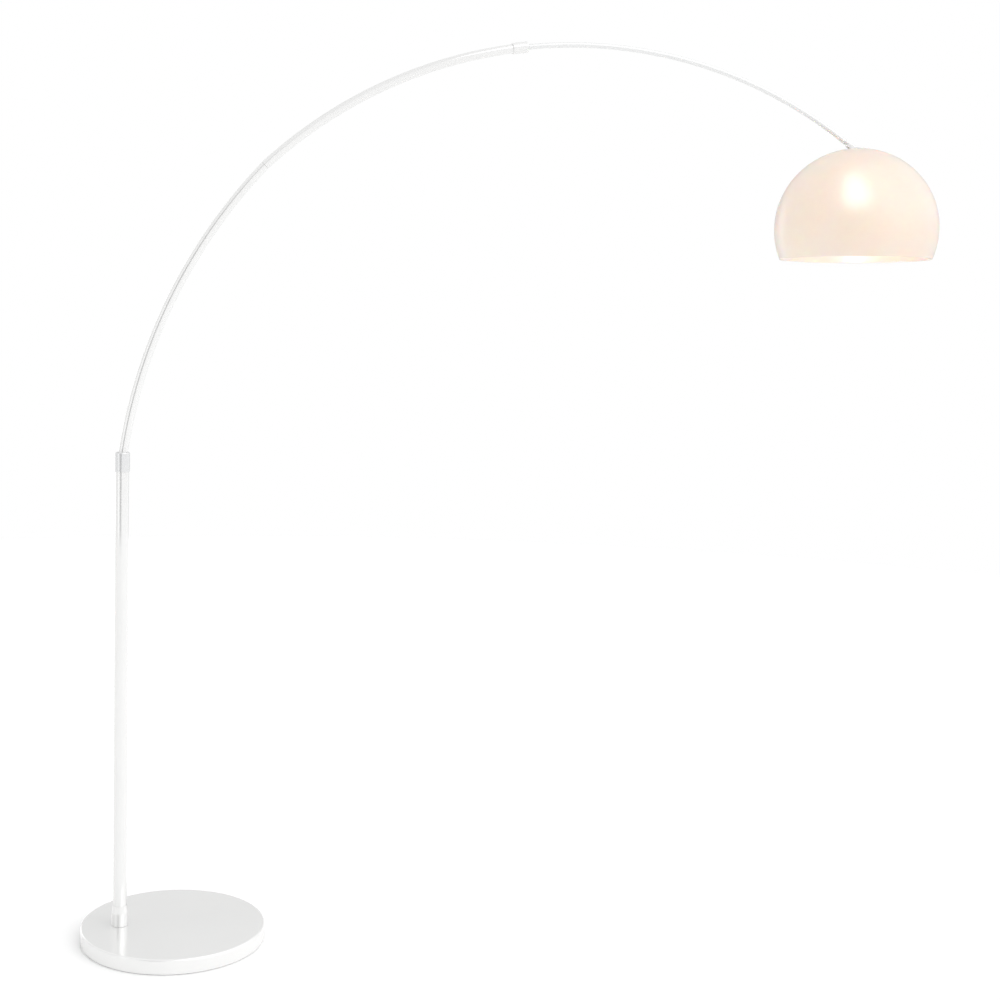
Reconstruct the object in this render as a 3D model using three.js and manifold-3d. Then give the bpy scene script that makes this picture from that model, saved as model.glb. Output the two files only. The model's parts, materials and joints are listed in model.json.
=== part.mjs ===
// Arc floor lamp: a heavy round base, a straight pole, a bent telescopic arm and a domed shade.
// Millimetres, +Z up. The origin is on the floor under the middle of the base. The arm reaches
// along +X, and all of its bends lie in the XZ plane.

import * as THREE from 'three';
import { mergeVertices } from 'three/addons/utils/BufferGeometryUtils.js';
import Module from 'manifold-3d';

const wasm = await Module();
wasm.setup();

const { cos, sin, sqrt, asin, PI } = Math;
const degrees = (angle) => angle * PI / 180;

// ---------------------------------------------------------------- driving dimensions

const GAP = 0.3;                        // left between pieces that touch

const BASE_RADIUS = 200;
const BASE_TOP = 32;
const BASE_EDGE = 4;                    // round of the cover's top edge
const COVER_WALL = 2;
const COVER_LIFT = 1;                   // the cover's lower edge clears the floor by this much
const FELT_RADIUS = 188;
const FELT_THICKNESS = 2;
const WEIGHT_RADIUS = 165;

const POLE_X = -115;
const POLE_RADIUS = 14.5;
const POLE_WALL = 1.5;
const SLEEVE_RADIUS = 17.5;
const SLEEVE_HEIGHT = 29;               // its straight part; a cone above it meets the pole
const SLEEVE_CONE = 15;

const COLLAR_RADIUS = 16.2;
const COLLAR_TOP = 1066;
const COLLAR_HEIGHT = 42;

const ARM_RADIUS = 10;                  // thick tube of the arm
const ARM_WALL = 1.5;
const SHANK_BOTTOM = 700;               // the straight end that slides in the pole
const SHANK_BEND = 150;                 // tighter bend hidden in the collar
const LEAN = degrees(8.27);             // slope at which the arm leaves the collar
const LOWER_BEND = 1160;
const LOWER_TURN = degrees(34.78);
const KINK = degrees(3.43);             // change of slope where the two thick tubes plug together
const UPPER_BEND = 1040;                // one circle for the middle tube and the thin tube
const MIDDLE_TURN = degrees(35.2);      // where the middle tube ends, counted from the kink
const ARM_COLLAR_RADIUS = 12.5;
const ARM_COLLAR_LENGTH = 34;

const THIN_RADIUS = 6;
const THIN_WALL = 1.4;
const THIN_START = degrees(23.4);       // inner end of the thin tube, counted from the kink
const PIVOT_TURN = degrees(80.1);       // where the shade tilts, counted from the kink

const SHADE_X = 1543;
const SHADE_TOP = 1761;
const SHADE_MIDDLE = 1581;              // height of the widest line
const SHADE_RIM = 1510;
const SHADE_RADIUS = 181.3;
const SHADE_WALL = 3;
const DOME_RISE = 183.5;                // half axes of the two ellipses of the outline
const DOME_DROP = 186;

const WIRE_RADIUS = 2.2;
const WEIGHT_TOP = BASE_TOP - COVER_WALL - GAP;
const POLE_BORE = POLE_RADIUS - POLE_WALL;
const ARM_BORE = ARM_RADIUS - ARM_WALL;
const COLLAR_BOTTOM = COLLAR_TOP - COLLAR_HEIGHT;

// ---------------------------------------------------------------- materials

const finish = (color, roughness, metalness = 0) =>
  new THREE.MeshStandardMaterial({ color, roughness, metalness });

const MATERIALS = {
  white_lacquer: finish(0xf2f2f0, 0.35, 0.1),
  collar_lacquer: finish(0xe2e3e3, 0.3, 0.3),
  cast_iron: finish(0x3c3d3f, 0.75, 0.6),
  felt: finish(0xb9babc, 0.95),
  steel: finish(0xb9bcc0, 0.35, 0.9),
  nylon: finish(0xe9e7e0, 0.6),
  rubber: finish(0xd8d8d6, 0.7),
  brass: finish(0xc8a24c, 0.3, 0.9),
  acrylic: finish(0xf6e6d4, 0.3),
  holder_plastic: finish(0xf0efec, 0.5),
  ceramic: finish(0xf3f1ea, 0.5),
  bulb_glass: finish(0xfffaf0, 0.2),
  wire: finish(0xe6e6e4, 0.6),
};

// ---------------------------------------------------------------- solids and booleans

function solidOf(geometry) {
  const bare = geometry.clone();
  bare.deleteAttribute('normal');
  bare.deleteAttribute('uv');
  const merged = mergeVertices(bare, 1e-4);
  const index = merged.index.array;
  const corners = [];
  for (let i = 0; i < index.length; i += 3) {
    const [a, b, c] = index.slice(i, i + 3);
    if (a !== b && b !== c && c !== a) corners.push(a, b, c);
  }
  return new wasm.Manifold(new wasm.Mesh({
    numProp: 3,
    vertProperties: new Float32Array(merged.attributes.position.array),
    triVerts: new Uint32Array(corners),
  }));
}

function geometryOf(solid) {
  const mesh = solid.getMesh();
  const geometry = new THREE.BufferGeometry();
  const places = new Float32Array(mesh.vertProperties);
  geometry.setAttribute('position', new THREE.BufferAttribute(places, 3));
  geometry.setIndex(new THREE.BufferAttribute(new Uint32Array(mesh.triVerts), 1));
  return geometry;
}

function cut(body, ...tools) {
  let solid = solidOf(body);
  for (const tool of tools) solid = solid.subtract(solidOf(tool));
  return geometryOf(solid);
}

function join(...bodies) {
  const [first, ...others] = bodies.map(solidOf);
  return geometryOf(others.reduce((sum, body) => sum.add(body), first));
}

// An outline of [radius, height] points turned about Z. It runs along the underside outwards,
// up the outside and back along the top, and starts and ends on the axis or closes on itself.
function turned(outline, sides = 36) {
  const points = outline.map(([radius, height]) => new THREE.Vector2(radius, height));
  return new THREE.LatheGeometry(points, sides).rotateX(PI / 2);
}

const disc = (radius, bottom, top, sides) =>
  turned([[0, bottom], [radius, bottom], [radius, top], [0, top]], sides);

const ring = (outer, inner, bottom, top, sides) =>
  turned([[inner, bottom], [outer, bottom], [outer, top], [inner, top], [inner, bottom]], sides);

// Points of a quarter round in an outline, from one angle to another.
function round(radius, height, size, from, to, steps = 3) {
  return Array.from({ length: steps + 1 }, (_, i) => {
    const angle = degrees(from + (to - from) * i / steps);
    return [radius + size * cos(angle), height + size * sin(angle)];
  });
}

function polygon(radius, sides) {
  return Array.from({ length: sides }, (_, i) => {
    const angle = 2 * PI * i / sides;
    return new THREE.Vector2(radius * cos(angle), radius * sin(angle));
  });
}

function hexNut(acrossFlats, bore, bottom, height) {
  const shape = new THREE.Shape(polygon(acrossFlats / sqrt(3), 6));
  shape.holes.push(new THREE.Path(polygon(bore, 24)));
  return new THREE.ExtrudeGeometry(shape, { depth: height, bevelEnabled: false })
    .translate(0, 0, bottom);
}

// ---------------------------------------------------------------- sweeps

// A path of stations, each with a place and a direction. A sweep stops at every station, so it
// takes short steps in a tight bend and one long step along a straight.
class StationPath extends THREE.Curve {
  constructor(stations) {
    super();
    this.stations = stations;
  }

  between(u, key) {
    const place = u * (this.stations.length - 1);
    const i = Math.min(Math.floor(place + 1e-9), this.stations.length - 2);
    const { [key]: start } = this.stations[i];
    const { [key]: end } = this.stations[i + 1];
    return start.clone().lerp(end, place - i);
  }

  getPoint(u) {
    return this.between(u, 'point');
  }

  getTangent(u) {
    return this.between(u, 'direction').normalize();
  }

  getPointAt(u) {
    return this.getPoint(u);
  }

  getTangentAt(u) {
    return this.getTangent(u);
  }
}

function sweep(stations, radius, bore, sides) {
  const shape = new THREE.Shape(polygon(radius, sides));
  if (bore) shape.holes.push(new THREE.Path(polygon(bore, sides)));
  const steps = stations.length - 1;
  return new THREE.ExtrudeGeometry(shape, { steps, extrudePath: new StationPath(stations) });
}

// A station in the XZ plane. Its slope is the angle from straight up, leaning towards +X.
const station = (x, z, slope) => ({
  slope,
  point: new THREE.Vector3(x, 0, z),
  direction: new THREE.Vector3(sin(slope), 0, cos(slope)),
});

// The stations of a circular bend that starts at a station and turns towards +X.
function bend(start, radius, turn, steps) {
  return Array.from({ length: steps + 1 }, (_, i) => {
    const slope = start.slope + turn * i / steps;
    const x = start.point.x + radius * (cos(start.slope) - cos(slope));
    const z = start.point.z + radius * (sin(slope) - sin(start.slope));
    return station(x, z, slope);
  });
}

const moved = ({ point, slope }, along) =>
  station(point.x + along * sin(slope), point.z + along * cos(slope), slope);

const turnedTo = ({ point }, slope) => station(point.x, point.z, slope);

const last = (list) => list[list.length - 1];

// Stations of the arm's centre line, from the shank in the pole to the tilt pivot.
const shankBottom = station(POLE_X, SHANK_BOTTOM, 0);
const bendStart = station(POLE_X, COLLAR_TOP - SHANK_BEND * sin(LEAN), 0);
const hiddenBend = bend(bendStart, SHANK_BEND, LEAN, 3);
const lowerArc = bend(last(hiddenBend), LOWER_BEND, LOWER_TURN, 14);
const kink = turnedTo(last(lowerArc), LEAN + LOWER_TURN + KINK);
const mitre = kink.slope - KINK / 2;
const onUpperArc = (turn) => last(bend(kink, UPPER_BEND, turn, 1));
const upperArc = (from, to, steps) => bend(onUpperArc(from), UPPER_BEND, to - from, steps);
const pivot = onUpperArc(PIVOT_TURN);

// ---------------------------------------------------------------- scene graph

const lamp = new THREE.Group();

function add(parent, name, slot, geometry) {
  const mesh = new THREE.Mesh(geometry, MATERIALS[slot]);
  mesh.name = name;
  parent.add(mesh);
  return mesh;
}

// A group whose own Z axis runs along the arm at a station.
function groupAt({ point, slope }) {
  const group = new THREE.Group();
  group.position.copy(point);
  group.rotation.y = slope;
  lamp.add(group);
  return group;
}

// A group that stands upright at a place.
function groupOver(x) {
  const group = new THREE.Group();
  group.position.x = x;
  lamp.add(group);
  return group;
}

// A grub screw along +Y with a hexagon socket in its outer end.
function grubScrew(radius, inner, outer) {
  const socket = new THREE.CylinderGeometry(radius / 2, radius / 2, 2 * radius, 6);
  return cut(
    new THREE.CylinderGeometry(radius, radius, outer - inner, 16).translate(0, (inner + outer) / 2, 0),
    socket.translate(0, outer, 0),
  );
}

const screwHole = (radius, reach) =>
  new THREE.CylinderGeometry(radius, radius, reach, 20).translate(0, reach / 2, 0);

// ---------------------------------------------------------------- base

const NIPPLE_RADIUS = 6.5;
const NIPPLE_BORE = 4;
const NIPPLE_HOLE = 7;
const NIPPLE_BOTTOM = 10.5;
const NUT_POCKET_RADIUS = 18;
const NUT_POCKET_TOP = 20;
const WASHER_THICKNESS = 2;
const NUT_HEIGHT = 6;
const PLUG_TOP = BASE_TOP + 28;
const INLET_DIRECTION = degrees(125);   // the inlet points away from the arm, to the back
const INLET_HEIGHT = 12;
const INLET_HOLE = 6;
const CHANNEL_WIDTH = 14;               // groove under the weight for the mains wire
const CHANNEL_HEIGHT = 10;
const MAINS_WIRE_TOP = 640;

const alongInlet = (geometry) => geometry.rotateY(PI / 2).rotateZ(INLET_DIRECTION)
  .translate(0, 0, INLET_HEIGHT);

function baseCover() {
  const inner = BASE_RADIUS - COVER_WALL;
  const under = BASE_TOP - COVER_WALL;
  const shell = turned([
    [0, under], [inner - 2, under], [inner, under - 2], [inner, COVER_LIFT],
    [BASE_RADIUS, COVER_LIFT],
    ...round(BASE_RADIUS - BASE_EDGE, BASE_TOP - BASE_EDGE, BASE_EDGE, 0, 90, 4), [0, BASE_TOP],
  ], 72);
  const nippleHole = disc(NIPPLE_HOLE, 0, 2 * BASE_TOP, 24).translate(POLE_X, 0, 0);
  const inletHole = alongInlet(disc(INLET_HOLE, inner - 10, BASE_RADIUS + 10, 24));
  return cut(shell, nippleHole, inletHole);
}

function baseWeight() {
  const bottom = FELT_THICKNESS + GAP;
  const body = turned([
    [0, bottom], [WEIGHT_RADIUS, bottom], [WEIGHT_RADIUS, WEIGHT_TOP - 3],
    [WEIGHT_RADIUS - 3, WEIGHT_TOP], [0, WEIGHT_TOP],
  ], 48);
  const channel = new THREE.BoxGeometry(CHANNEL_WIDTH, WEIGHT_RADIUS, 2 * CHANNEL_HEIGHT);
  return cut(
    body,
    disc(NIPPLE_HOLE, 0, 2 * BASE_TOP, 24).translate(POLE_X, 0, 0),
    disc(NUT_POCKET_RADIUS, 0, NUT_POCKET_TOP, 30).translate(POLE_X, 0, 0),
    channel.translate(POLE_X, WEIGHT_RADIUS / 2, 0),
  );
}

// A rubber grommet: a neck in the cover's hole, with a flange on each side of the wall.
function cableInlet() {
  const back = BASE_RADIUS - COVER_WALL - 4;
  const front = BASE_RADIUS + 2.8;
  const bore = 3.5;
  const neck = INLET_HOLE - 0.4;
  const flange = INLET_HOLE + 2;
  return alongInlet(turned([
    [bore, back], [flange - 0.5, back], [flange - 0.5, back + 3.1], [neck, back + 3.1],
    [neck, BASE_RADIUS + 0.6], [flange, BASE_RADIUS + 0.6], [flange, front - 1],
    [flange - 1, front], [bore, front], [bore, back],
  ], 24));
}

// The mains wire comes in at the inlet, crosses the channel and climbs the nipple into the pole.
function mainsWire() {
  const inlet = (reach, height) =>
    new THREE.Vector3(reach * cos(INLET_DIRECTION), reach * sin(INLET_DIRECTION), height);
  const floorRun = new THREE.CatmullRomCurve3([
    inlet(BASE_RADIUS - 1, INLET_HEIGHT),
    inlet(BASE_RADIUS - 9, INLET_HEIGHT - 0.2),
    new THREE.Vector3(POLE_X, 125, 7.5),
    new THREE.Vector3(POLE_X, 60, 5.4),
    new THREE.Vector3(POLE_X, 10, 5.2),
    new THREE.Vector3(POLE_X, 2.2, 7.2),
    new THREE.Vector3(POLE_X, 0, 14),
    new THREE.Vector3(POLE_X, 0, 24),
  ], false, 'centripetal');
  const steps = 44;
  const stations = Array.from({ length: steps + 1 }, (_, i) => ({
    point: floorRun.getPoint(i / steps),
    direction: floorRun.getTangent(i / steps),
  }));
  stations.push(station(POLE_X, MAINS_WIRE_TOP, 0));
  return sweep(stations, WIRE_RADIUS, 0, 8);
}

add(lamp, 'base_felt', 'felt', cut(
  disc(FELT_RADIUS, 0, FELT_THICKNESS, 64),
  disc(NUT_POCKET_RADIUS, -1, FELT_THICKNESS + 1, 30).translate(POLE_X, 0, 0),
));
add(lamp, 'base_weight', 'cast_iron', baseWeight());
add(lamp, 'base_cover', 'white_lacquer', baseCover());
add(lamp, 'cable_inlet', 'rubber', cableInlet());
add(lamp, 'mains_wire', 'wire', mainsWire());

// ---------------------------------------------------------------- pole

const pole = groupOver(POLE_X);
const poleTop = COLLAR_TOP - 25;
const guideLength = 50;
const guideFlange = 2;
const washerBottom = NUT_POCKET_TOP - GAP - WASHER_THICKNESS;
const nutBottom = washerBottom - GAP - NUT_HEIGHT;

function footSleeve() {
  const bottom = BASE_TOP + GAP;
  const shoulder = bottom + SLEEVE_HEIGHT;
  const top = shoulder + SLEEVE_CONE;
  const bore = POLE_RADIUS + GAP;
  return turned([
    [bore, bottom], [SLEEVE_RADIUS, bottom], [SLEEVE_RADIUS, shoulder - 1],
    [SLEEVE_RADIUS - 0.2, shoulder + 1], [bore + 0.5, top], [bore, top], [bore, bottom],
  ]);
}

// Nylon guide in the pole's top. Its flange carries the collar, and the arm's shank slides in it.
function poleTopGuide() {
  const bore = ARM_RADIUS + 0.45;
  const bottom = poleTop - guideLength;
  const flange = poleTop + GAP;
  const top = flange + guideFlange;
  return turned([
    [bore, bottom], [POLE_BORE - GAP, bottom], [POLE_BORE - GAP, flange],
    [POLE_RADIUS, flange], [POLE_RADIUS, top], [bore, top], [bore, bottom],
  ]);
}

add(pole, 'foot_nipple', 'steel', ring(NIPPLE_RADIUS, NIPPLE_BORE, NIPPLE_BOTTOM, PLUG_TOP, 24));
add(pole, 'foot_nut', 'steel', hexNut(20, NIPPLE_RADIUS + GAP, nutBottom, NUT_HEIGHT));
add(pole, 'foot_washer', 'steel',
  ring(15, NIPPLE_RADIUS + GAP, washerBottom, washerBottom + WASHER_THICKNESS, 28));
add(pole, 'pole_end_plug', 'steel',
  ring(POLE_BORE - GAP, NIPPLE_RADIUS + GAP, BASE_TOP + GAP, PLUG_TOP));
add(pole, 'foot_sleeve', 'white_lacquer', footSleeve());
add(pole, 'pole_tube', 'white_lacquer', ring(POLE_RADIUS, POLE_BORE, BASE_TOP + GAP, poleTop));
add(pole, 'pole_top_guide', 'nylon', poleTopGuide());

// ---------------------------------------------------------------- swivel collar

const COLLAR_SCREW_RADIUS = 2.5;
const COLLAR_SCREW_HEIGHT = 1052;

function poleCollar() {
  const step = poleTop + GAP + guideFlange + 0.4;
  const poleFit = POLE_RADIUS + 0.35;
  const mouth = ARM_RADIUS + 2.3;
  const body = turned([
    [poleFit, COLLAR_BOTTOM], [COLLAR_RADIUS - 0.6, COLLAR_BOTTOM],
    [COLLAR_RADIUS, COLLAR_BOTTOM + 0.6],
    ...round(COLLAR_RADIUS - 3, COLLAR_TOP - 3, 3, 0, 90, 4),
    [mouth, COLLAR_TOP], [mouth, step], [poleFit, step], [poleFit, COLLAR_BOTTOM],
  ]);
  const hole = screwHole(COLLAR_SCREW_RADIUS + GAP, 2 * COLLAR_RADIUS);
  return cut(body, hole.translate(0, 0, COLLAR_SCREW_HEIGHT));
}

add(pole, 'pole_collar', 'collar_lacquer', poleCollar());
add(pole, 'collar_set_screw', 'steel',
  grubScrew(COLLAR_SCREW_RADIUS, ARM_RADIUS + 0.35, COLLAR_RADIUS - 0.5))
  .position.z = COLLAR_SCREW_HEIGHT;

// ---------------------------------------------------------------- lower arm

const SHANK_GUIDE_LENGTH = 25;
const FERRULE_REACH = degrees(1.6);
const SCREW_RADIUS = 2;
const BUSHING_LENGTH = 20;
const ARM_COLLAR_SHIFT = -2;            // the collar's middle, from the end of the middle tube
const ARM_SCREW_PLACE = 11;             // from the collar's middle

function lowerArmTube() {
  const end = turnedTo(moved(kink, -GAP / 2), mitre);
  const stations = [shankBottom, ...hiddenBend, ...lowerArc.slice(1, -1), end];
  return sweep(stations, ARM_RADIUS, ARM_BORE, 24);
}

function middleArmTube() {
  const start = turnedTo(moved(kink, GAP / 2), mitre);
  const stations = [start, ...upperArc(0, MIDDLE_TURN, 14).slice(1)];
  return sweep(stations, ARM_RADIUS, ARM_BORE, 24);
}

// A short bent sleeve inside both thick tubes, across the place where they plug together.
function jointFerrule() {
  const lowerEnd = last(lowerArc);
  const before = bend(lowerEnd, LOWER_BEND, -FERRULE_REACH, 1)[1];
  const after = onUpperArc(FERRULE_REACH);
  return sweep([before, turnedTo(kink, mitre), after], ARM_BORE - 0.45, 5, 24);
}

function lowerArmWire() {
  const start = moved(shankBottom, 10);
  const end = onUpperArc(FERRULE_REACH);
  const stations = [start, ...hiddenBend, ...lowerArc.slice(1, -1), turnedTo(kink, mitre), end];
  return sweep(stations, WIRE_RADIUS, 0, 8);
}

// The collar is a straight turned piece: a wide bore for the end of the middle tube, then a lip
// that the thin tube slides through.
function armCollar() {
  const half = ARM_COLLAR_LENGTH / 2;
  const wide = ARM_RADIUS + 0.5;
  const narrow = THIN_RADIUS + 1;
  const outer = ARM_COLLAR_RADIUS;
  const step = 4;
  const body = turned([
    [wide, -half], [outer - 0.8, -half], [outer, 0.8 - half],
    ...round(outer - 1.5, half - 1.5, 1.5, 0, 90),
    [narrow, half], [narrow, step], [wide, step], [wide, -half],
  ]);
  return cut(body, screwHole(SCREW_RADIUS + GAP, 2 * outer).translate(0, 0, ARM_SCREW_PLACE));
}

// Its body sits in the end of the middle tube, and its flange stands on the tube's end face.
function armCollarBushing() {
  const half = BUSHING_LENGTH / 2;
  const bore = THIN_RADIUS + 0.85;
  const body = ARM_BORE - 0.6;
  const face = half + GAP;
  return turned([
    [bore, -half], [body, -half], [body, face], [ARM_RADIUS, face], [ARM_RADIUS, face + 1.2],
    [bore, face + 1.2], [bore, -half],
  ], 24);
}

const armCollarGroup = groupAt(onUpperArc(MIDDLE_TURN));
const bushingGroup = groupAt(onUpperArc(MIDDLE_TURN - BUSHING_LENGTH / 2 / UPPER_BEND));

add(lamp, 'lower_arm_tube', 'white_lacquer', lowerArmTube());
add(pole, 'shank_guide', 'nylon',
  ring(POLE_BORE - 0.5, ARM_RADIUS + GAP, SHANK_BOTTOM, SHANK_BOTTOM + SHANK_GUIDE_LENGTH));
add(lamp, 'arm_joint_ferrule', 'steel', jointFerrule());
add(lamp, 'middle_arm_tube', 'white_lacquer', middleArmTube());
add(lamp, 'lower_arm_wire', 'wire', lowerArmWire());
add(armCollarGroup, 'arm_collar', 'white_lacquer', armCollar()).position.z = ARM_COLLAR_SHIFT;
add(bushingGroup, 'arm_collar_bushing', 'nylon', armCollarBushing());
add(armCollarGroup, 'arm_set_screw', 'steel',
  grubScrew(SCREW_RADIUS, THIN_RADIUS + 0.6, ARM_COLLAR_RADIUS - 0.3))
  .position.z = ARM_COLLAR_SHIFT + ARM_SCREW_PLACE;

// ---------------------------------------------------------------- upper arm

const EYE_THICKNESS = 5;
const EYE_RADIUS = 6;
const PIN_RADIUS = 2;
const TIP_PLUG_LENGTH = 10;
const TUBE_END = 12;                    // the thin tube stops this far short of the pivot
const thinEnd = PIVOT_TURN - TUBE_END / UPPER_BEND;

// A plug in the tube's end that carries a flat eye for the tilt pin. Its own Z runs along the arm.
function tipEye() {
  const shoulder = -TUBE_END + GAP;
  const plugEnd = -TUBE_END - TIP_PLUG_LENGTH;
  const plugRadius = THIN_RADIUS - THIN_WALL - 0.7;
  const plug = turned([
    [0, plugEnd], [plugRadius, plugEnd], [plugRadius, shoulder], [THIN_RADIUS, shoulder],
    [THIN_RADIUS, shoulder + 2], [THIN_RADIUS - 2, shoulder + 4], [0, shoulder + 4],
  ], 24);
  const eye = new THREE.CylinderGeometry(EYE_RADIUS, EYE_RADIUS, EYE_THICKNESS, 24);
  const neck = new THREE.BoxGeometry(2 * EYE_RADIUS - 4, EYE_THICKNESS, TUBE_END - 2)
    .translate(0, 0, -(TUBE_END - 2) / 2);
  const pinHole = new THREE.CylinderGeometry(PIN_RADIUS + GAP, PIN_RADIUS + GAP, 20, 20);
  return cut(join(plug, eye, neck), pinHole);
}

add(lamp, 'upper_arm_tube', 'white_lacquer',
  sweep(upperArc(THIN_START, thinEnd, 23), THIN_RADIUS, THIN_RADIUS - THIN_WALL, 16));
add(groupAt(onUpperArc(THIN_START + degrees(0.8))), 'inner_guide', 'nylon',
  ring(ARM_BORE - 0.7, THIN_RADIUS + 0.4, -11, 11, 24));
add(lamp, 'upper_arm_wire', 'wire',
  sweep(upperArc(THIN_START, thinEnd - degrees(1.2), 23), WIRE_RADIUS, 0, 8));
add(groupAt(pivot), 'tip_eye', 'white_lacquer', tipEye());

// ---------------------------------------------------------------- shade head

const head = groupOver(SHADE_X);
const CAP_RADIUS = 21;
const CAP_HEIGHT = 5.5;
const CHEEK_THICKNESS = 2.8;
const CHEEK_RADIUS = 6;
const cheekInner = EYE_THICKNESS / 2 + 0.4;
const HEAD_NIPPLE_RADIUS = 5;
const HEAD_NIPPLE_BOTTOM = 1738;
const HOLDER_TOP = 1750;
const HOLDER_RADIUS = 19.5;
const CAP_RIM = 1724;                   // lower edge of the holder's cap
const SKIRT_BOTTOM = 1698;
const INSERT_BOTTOM = 1731;
const INSERT_THICKNESS = 5;
const SOCKET_RADIUS = 15.2;
const BULB_CENTRE = 1664;
const BULB_RADIUS = 30;
const BULB_NECK = 1699;

// A low dome on the shade's top, with two cheeks that reach out to the tilt pin.
function shadeCap() {
  const bottom = SHADE_TOP + GAP;
  const top = bottom + CAP_HEIGHT;
  const dome = turned([
    [0, bottom], [CAP_RADIUS, bottom], [CAP_RADIUS, bottom + 1.2], [CAP_RADIUS - 3, top - 1.8],
    [CAP_RADIUS - 8, top - 0.5], [0, top],
  ], 40);
  const pivotX = pivot.point.x - SHADE_X;
  const pivotZ = pivot.point.z;
  const outline = new THREE.Shape();
  outline.moveTo(pivotX + CHEEK_RADIUS, pivotZ + 1);
  outline.absarc(pivotX, pivotZ, CHEEK_RADIUS, degrees(20), degrees(250), false);
  outline.lineTo(-CAP_RADIUS + 4, bottom + 1);
  outline.lineTo(-CAP_RADIUS + 13, bottom + 1);
  outline.lineTo(-CAP_RADIUS + 13, top - 1);
  const cheek = (from) => new THREE.ExtrudeGeometry(
    outline, { depth: CHEEK_THICKNESS, bevelEnabled: false, curveSegments: 14 },
  ).rotateX(PI / 2).translate(0, from, 0);
  const pinHole = new THREE.CylinderGeometry(PIN_RADIUS + GAP, PIN_RADIUS + GAP, 30, 20)
    .translate(pivotX, 0, pivotZ);
  const nippleHole = disc(HEAD_NIPPLE_RADIUS + GAP, bottom - 1, top - 2, 24);
  const cheeks = [cheek(cheekInner + CHEEK_THICKNESS), cheek(-cheekInner)];
  return cut(join(dome, ...cheeks), pinHole, nippleHole);
}

// The pin's two heads stand on the outer faces of the cheeks.
function tiltPin() {
  const cheekFace = cheekInner + CHEEK_THICKNESS + GAP;
  return turned([
    [0, -cheekFace - 1.2], [3, -cheekFace - 1.2], [3.6, -cheekFace - 0.6], [3.6, -cheekFace],
    [PIN_RADIUS, -cheekFace], [PIN_RADIUS, cheekFace], [3.6, cheekFace], [3.6, cheekFace + 0.6],
    [3, cheekFace + 1.2], [0, cheekFace + 1.2],
  ], 24).rotateX(-PI / 2);
}

// Two ellipses meet at the widest line. Shrinking both half axes gives the inside of the wall.
function shadeOutline(shrink) {
  const radius = SHADE_RADIUS - shrink;
  const topAngle = asin((SHADE_TOP - shrink - SHADE_MIDDLE) / (DOME_RISE - shrink));
  const rimAngle = asin((SHADE_MIDDLE - SHADE_RIM) / DOME_DROP);
  const lowerSteps = 4;
  const upperSteps = 11;
  const lower = Array.from({ length: lowerSteps }, (_, i) => {
    const angle = rimAngle * (1 - i / lowerSteps);
    return [radius * cos(angle), SHADE_MIDDLE - DOME_DROP * sin(angle)];
  });
  const upper = Array.from({ length: upperSteps + 1 }, (_, i) => {
    const angle = topAngle * i / upperSteps;
    return [radius * cos(angle), SHADE_MIDDLE + (DOME_RISE - shrink) * sin(angle)];
  });
  return [...lower, ...upper];
}

function shade() {
  const outside = shadeOutline(0);
  const inside = shadeOutline(SHADE_WALL).reverse();
  const hole = HEAD_NIPPLE_RADIUS + 0.5;
  return turned([
    ...outside, [hole, SHADE_TOP], [hole, SHADE_TOP - SHADE_WALL], ...inside, outside[0],
  ], 44);
}

function holderCap() {
  const hole = HEAD_NIPPLE_RADIUS + GAP;
  const inner = HOLDER_RADIUS - 2;
  return turned([
    [hole, HOLDER_TOP - 5], [9, HOLDER_TOP - 5], [inner, HOLDER_TOP - 12], [inner, CAP_RIM],
    [HOLDER_RADIUS, CAP_RIM], [HOLDER_RADIUS, HOLDER_TOP - 11], [11, HOLDER_TOP - 1.5],
    [9, HOLDER_TOP], [hole, HOLDER_TOP], [hole, HOLDER_TOP - 5],
  ], 32);
}

function bulbBase() {
  const radius = 13.2;
  const outline = [[0, BULB_NECK + 1], [radius - 0.5, BULB_NECK + 1]];
  const threads = 5;
  const pitch = 4;
  for (let turn = 0; turn < threads; turn += 1) {
    const height = BULB_NECK + 2 + turn * pitch;
    outline.push([radius - 0.6, height], [radius, height + pitch / 2]);
  }
  outline.push([radius - 0.8, BULB_NECK + 22], [6, BULB_NECK + 25], [5, BULB_NECK + 27]);
  outline.push([0, BULB_NECK + 27.5]);
  return turned(outline, 28);
}

// The glass is a thin shell, open at the neck where the screw base closes it.
function bulbGlass() {
  const wall = 1.2;
  const neckRadius = 12.4;
  const outside = [];
  const inside = [];
  const steps = 9;
  for (let i = 0; i <= steps; i += 1) {
    const angle = degrees(-90 + 130 * i / steps);
    outside.push([BULB_RADIUS * cos(angle), BULB_CENTRE + BULB_RADIUS * sin(angle)]);
    const inner = BULB_RADIUS - wall;
    inside.push([inner * cos(angle), BULB_CENTRE + inner * sin(angle)]);
  }
  outside[0][0] = 0;
  inside[0][0] = 0;
  outside.push([16, BULB_CENTRE + 26], [neckRadius, BULB_CENTRE + 31], [neckRadius, BULB_NECK]);
  inside.push([16 - wall, BULB_CENTRE + 25.5], [neckRadius - wall, BULB_CENTRE + 30.5],
    [neckRadius - wall, BULB_NECK]);
  return turned([...outside, ...inside.reverse()], 28);
}

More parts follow.
